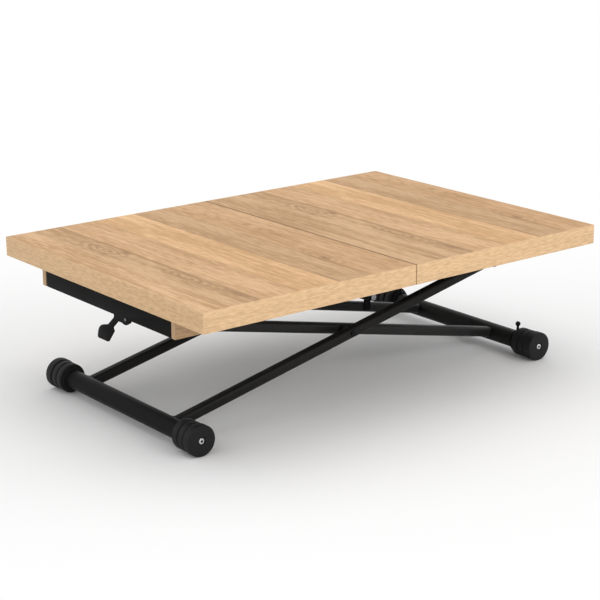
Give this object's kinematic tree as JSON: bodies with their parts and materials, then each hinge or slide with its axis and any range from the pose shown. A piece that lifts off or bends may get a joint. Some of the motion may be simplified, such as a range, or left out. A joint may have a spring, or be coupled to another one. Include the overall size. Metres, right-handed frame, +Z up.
{
  "type": "convertible coffee dining table",
  "caption": "Low oak-decor table on crossed black steel legs with wheels; a gas spring lifts it to dining height and the parted top slides open lengthwise.",
  "frame": {"origin": "on the floor under the middle of the lowered top", "axes": "+X along the table away from the release lever, +Y across it, +Z up"},
  "size_m": [1, 0.7, 0.311],
  "materials": {
    "oak_face": "matt oak decor",
    "oak_edge": "matt oak edge band",
    "runner_timber": "planed",
    "black_steel": "satin powder coat",
    "black_plastic": "matt moulded",
    "roller_plastic": "turned nylon",
    "bright_steel": "zinc plated",
    "dark_steel": "blackened",
    "polished_rod": "polished"
  },
  "bodies": {
    "braked_wheels": {"right_wheel_near": "black_plastic", "right_wheel_far": "black_plastic"},
    "inner_frame": {"right_floor_tube": "black_steel", "right_tube_plugs": "black_plastic", "right_axle_bolts": "bright_steel", "inner_leg_near": "black_steel", "inner_leg_far": "black_steel", "inner_leg_caps": "black_plastic", "inner_top_tube": "black_steel", "spring_ear": "black_steel", "spring_pin": "bright_steel"},
    "outer_frame": {"left_floor_tube": "black_steel", "left_tube_plugs": "black_plastic", "left_axle_bolts": "bright_steel", "outer_leg_near": "black_steel", "outer_leg_far": "black_steel", "outer_leg_caps": "black_plastic", "crossing_bolts": "dark_steel", "crossing_spacers": "black_plastic", "roller_bolts": "bright_steel"},
    "top_frame": {"side_rail_near": "oak_face", "side_rail_far": "oak_face", "lever_end_plate": "black_steel", "plain_end_plate": "black_steel", "pivot_cross_bar": "black_steel", "left_guide_bar": "black_steel", "spring_cross_bar": "black_steel", "middle_guide_bar": "black_steel", "right_guide_bar": "black_steel", "channel_cross_bar": "black_steel", "left_slide_guides": "black_plastic", "right_slide_guides": "black_plastic", "frame_screws": "bright_steel", "pivot_brackets": "black_steel", "pivot_pins": "bright_steel", "roller_channel_near": "black_steel", "roller_channel_far": "black_steel", "spring_bracket": "black_steel", "release_cable": "black_plastic", "cable_stops": "black_plastic", "lever_bolt": "bright_steel"},
    "left_half": {"left_top": "oak_face", "left_edge_band": "oak_edge", "left_runner_near": "runner_timber", "left_runner_far": "runner_timber"},
    "right_half": {"right_top": "oak_face", "right_edge_band": "oak_edge", "right_runner_near": "runner_timber", "right_runner_far": "runner_timber"},
    "left_near_wheel": {"left_wheel_near": "black_plastic"},
    "left_far_wheel": {"left_wheel_far": "black_plastic"},
    "near_roller": {"roller_near": "roller_plastic"},
    "far_roller": {"roller_far": "roller_plastic"},
    "near_brake": {"brake_lever_near": "black_steel"},
    "far_brake": {"brake_lever_far": "black_steel"},
    "spring_tube": {"gas_cylinder": "black_steel", "cylinder_guide": "black_plastic"},
    "spring_rod": {"gas_rod": "polished_rod", "release_head": "black_plastic"},
    "lever": {"release_lever": "black_steel"}
  },
  "joints": [
    {"name": "lift", "type": "hinge", "parent": "braked_wheels", "child": "inner_frame", "pos_m": [0.4445, 0, 0.031], "axis": [0, 1, 0], "range_deg": [0, 33.5]},
    {"name": "crossing", "type": "hinge", "parent": "inner_frame", "child": "outer_frame", "pos_m": [0, 0, 0.12751], "axis": [0, 1, 0], "range_deg": [-68, 0.5]},
    {"name": "top_level", "type": "hinge", "parent": "inner_frame", "child": "top_frame", "pos_m": [-0.396, 0, 0.2135], "axis": [0, 1, 0], "range_deg": [-34.5, 0.5]},
    {"name": "spring_swing", "type": "hinge", "parent": "inner_frame", "child": "spring_tube", "pos_m": [0.265, 0.089, 0.09897], "axis": [0, 1, 0], "range_deg": [-0.5, 14.63]},
    {"name": "spring_stroke", "type": "slide", "parent": "spring_tube", "child": "spring_rod", "axis": [-0.9385, 0, 0.3454], "range_m": [-0.001, 0.1267]},
    {"name": "left_half_slide", "type": "slide", "parent": "top_frame", "child": "left_half", "axis": [-1, 0, 0], "range_m": [0, 0.2]},
    {"name": "right_half_slide", "type": "slide", "parent": "top_frame", "child": "right_half", "axis": [1, 0, 0], "range_m": [0, 0.2]},
    {"name": "left_near_roll", "type": "hinge", "parent": "outer_frame", "child": "left_near_wheel", "pos_m": [-0.4445, -0.228, 0.031], "axis": [0, 1, 0], "continuous": true},
    {"name": "left_far_roll", "type": "hinge", "parent": "outer_frame", "child": "left_far_wheel", "pos_m": [-0.4445, 0.228, 0.031], "axis": [0, 1, 0], "continuous": true},
    {"name": "near_roller_turn", "type": "hinge", "parent": "outer_frame", "child": "near_roller", "pos_m": [0.396, -0.131, 0.2135], "axis": [0, 1, 0], "continuous": true},
    {"name": "far_roller_turn", "type": "hinge", "parent": "outer_frame", "child": "far_roller", "pos_m": [0.396, 0.131, 0.2135], "axis": [0, 1, 0], "continuous": true},
    {"name": "near_brake_turn", "type": "hinge", "parent": "inner_frame", "child": "near_brake", "pos_m": [0.4445, -0.1925, 0.031], "axis": [0, 1, 0], "range_deg": [0, 40]},
    {"name": "far_brake_turn", "type": "hinge", "parent": "inner_frame", "child": "far_brake", "pos_m": [0.4445, 0.1925, 0.031], "axis": [0, 1, 0], "range_deg": [0, 40]},
    {"name": "release", "type": "hinge", "parent": "top_frame", "child": "lever", "pos_m": [-0.477, -0.07, 0.229], "axis": [1, 0, 0], "range_deg": [0, 18], "stiffness_Nm_per_rad": 0.6, "springref_deg": -14.32}
  ],
  "couplings": [
    {"joint": "crossing", "follows": "lift", "ratio": -2},
    {"joint": "top_level", "follows": "lift", "ratio": -1},
    {"joint": "spring_swing", "follows": "lift", "ratio": 0.40697},
    {"joint": "spring_stroke", "follows": "lift", "m_per_rad": 0.21329}
  ]
}
